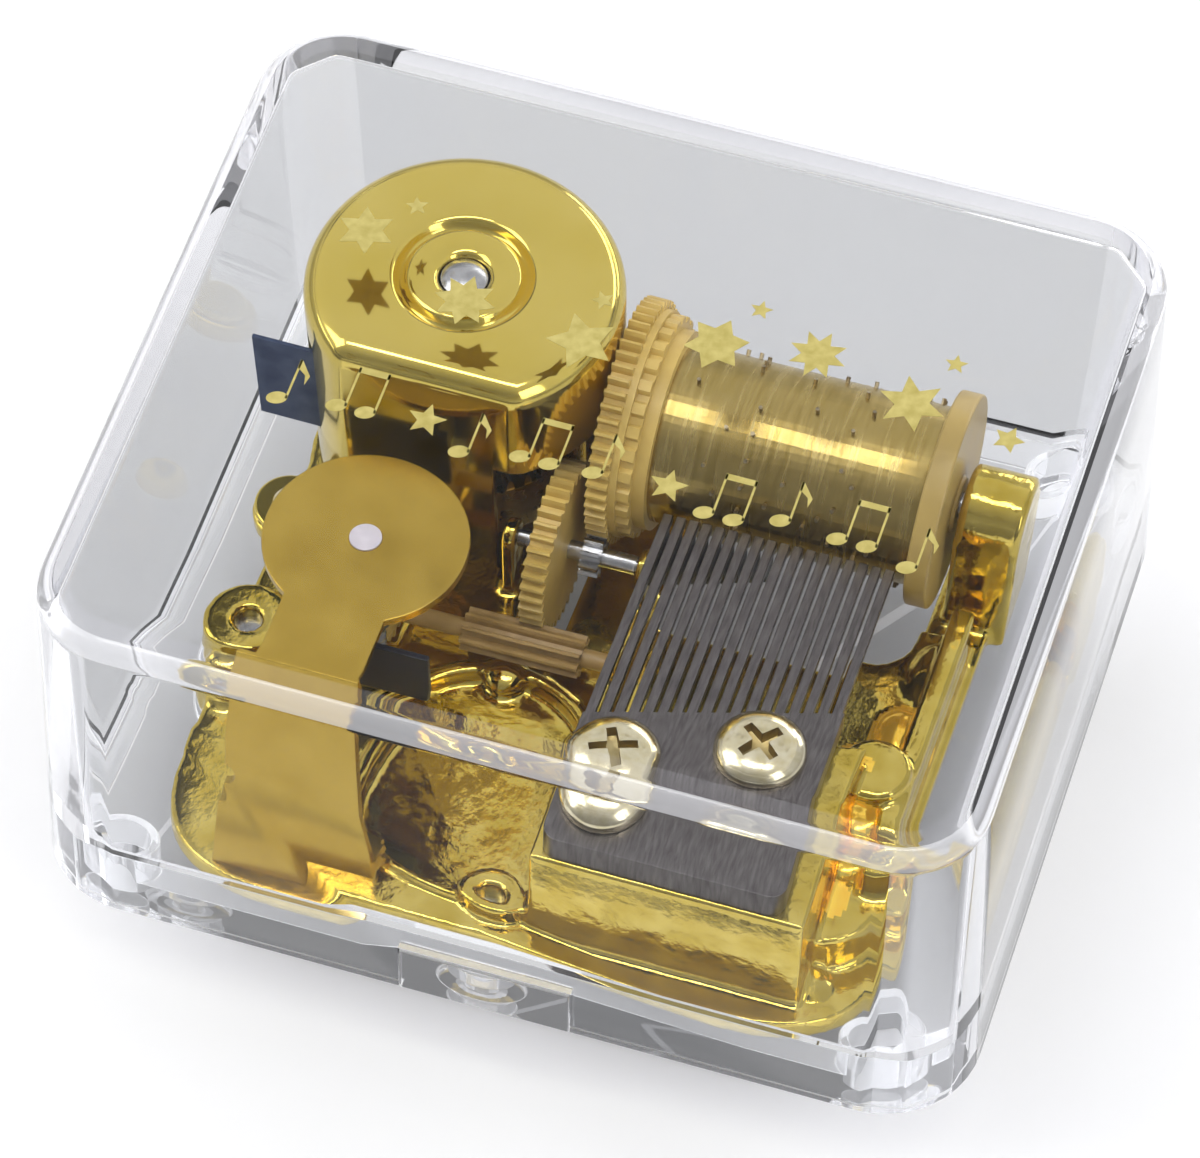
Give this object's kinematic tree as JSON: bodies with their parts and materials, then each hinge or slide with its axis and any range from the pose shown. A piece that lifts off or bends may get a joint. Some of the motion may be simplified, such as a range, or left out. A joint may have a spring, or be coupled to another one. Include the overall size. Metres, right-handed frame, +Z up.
{
  "type": "music box",
  "caption": "Wind-up comb and cylinder music movement in a clear case, wound by a wing key below; the lid lifts off and the geared cylinder drives an air-brake governor.",
  "frame": {"origin": "below the middle of the case, on the plane that the winding key's lowest point touches", "axes": "+X to the right along the front edge, +Y to the back, +Z up"},
  "size_m": [0.065, 0.0558, 0.0365],
  "materials": {
    "clear_case": "clear moulded plastic, polished outside",
    "gold_casting": "cast metal with a bright gold plating",
    "gold_sheet": "stamped sheet steel with a satin gold plating",
    "spring_steel": "blued spring steel",
    "steel": "ground steel",
    "comb_steel": "dark hardened steel, ground on top",
    "screw_plate": "nickel plated with a warm tint",
    "brass_tube": "drawn brass, finely brushed round",
    "moulded_tan": "tan engineering plastic, slightly glossy",
    "gear_brass": "cut brass",
    "lead": "dull lead",
    "black_plastic": "thin black plastic",
    "pale_bush": "pale bearing plastic"
  },
  "bodies": {
    "movement": {"base": "clear_case", "base_screws": "steel", "bedplate": "gold_casting", "bearing_post": "gold_casting", "spring_housing": "gold_sheet", "housing_screws": "screw_plate", "mainspring": "spring_steel", "comb": "comb_steel", "comb_screws": "screw_plate", "tuning_weights": "lead", "governor_bracket": "gold_sheet", "bracket_screws": "screw_plate", "pivot_bush": "pale_bush"},
    "lid": {"lid": "clear_case"},
    "cylinder": {"cylinder_arbor": "steel", "drive_pinion": "moulded_tan", "cylinder_gear": "moulded_tan", "stepped_flange": "moulded_tan", "cylinder_tube": "brass_tube", "cylinder_pins": "steel", "end_flange": "moulded_tan"},
    "drive_wheel": {"drive_wheel": "gear_brass", "click_spring": "spring_steel"},
    "key": {"winding_key": "gold_sheet", "winding_arbor": "steel", "ratchet_wheel": "steel"},
    "click": {"click": "steel"},
    "second_wheel": {"second_arbor": "steel", "second_wheel": "moulded_tan"},
    "third_wheel": {"third_arbor": "moulded_tan", "worm_wheel": "moulded_tan"},
    "governor": {"worm_shaft": "steel", "air_brake": "black_plastic"}
  },
  "joints": [
    {"name": "lid_lift", "type": "slide", "parent": "movement", "child": "lid", "axis": [0, 0, 1], "range_m": [0, 0.045]},
    {"name": "cylinder_spin", "type": "hinge", "parent": "movement", "child": "cylinder", "pos_m": [0.01, 0.0113, 0.0214], "axis": [1, 0, 0], "continuous": true},
    {"name": "drive_wheel_spin", "type": "hinge", "parent": "movement", "child": "drive_wheel", "pos_m": [-0.0139, 0.0113, 0.016], "axis": [0, 0, 1], "continuous": true},
    {"name": "key_turn", "type": "hinge", "parent": "drive_wheel", "child": "key", "pos_m": [-0.0139, 0.0113, 0.007], "axis": [0, 0, 1], "range_deg": [0, 1080]},
    {"name": "click_pivot", "type": "hinge", "parent": "drive_wheel", "child": "click", "pos_m": [-0.0184, 0.0139, 0.0166], "axis": [0, 0, 1], "range_deg": [0, 8], "stiffness_Nm_per_rad": 0.0002, "springref_deg": -2.86},
    {"name": "second_wheel_spin", "type": "hinge", "parent": "movement", "child": "second_wheel", "pos_m": [-0.004, 0.0025, 0.017], "axis": [1, 0, 0], "continuous": true},
    {"name": "third_wheel_spin", "type": "hinge", "parent": "movement", "child": "third_wheel", "pos_m": [-0.008, -0.0043, 0.014], "axis": [1, 0, 0], "continuous": true},
    {"name": "governor_spin", "type": "hinge", "parent": "movement", "child": "governor", "pos_m": [-0.015, -0.0072, 0.017], "axis": [0, 0, 1], "continuous": true}
  ],
  "couplings": [
    {"joint": "drive_wheel_spin", "follows": "cylinder_spin", "ratio": 0.26316},
    {"joint": "second_wheel_spin", "follows": "cylinder_spin", "ratio": -6.2222},
    {"joint": "third_wheel_spin", "follows": "cylinder_spin", "ratio": 27.654},
    {"joint": "governor_spin", "follows": "cylinder_spin", "ratio": 359.51}
  ]
}
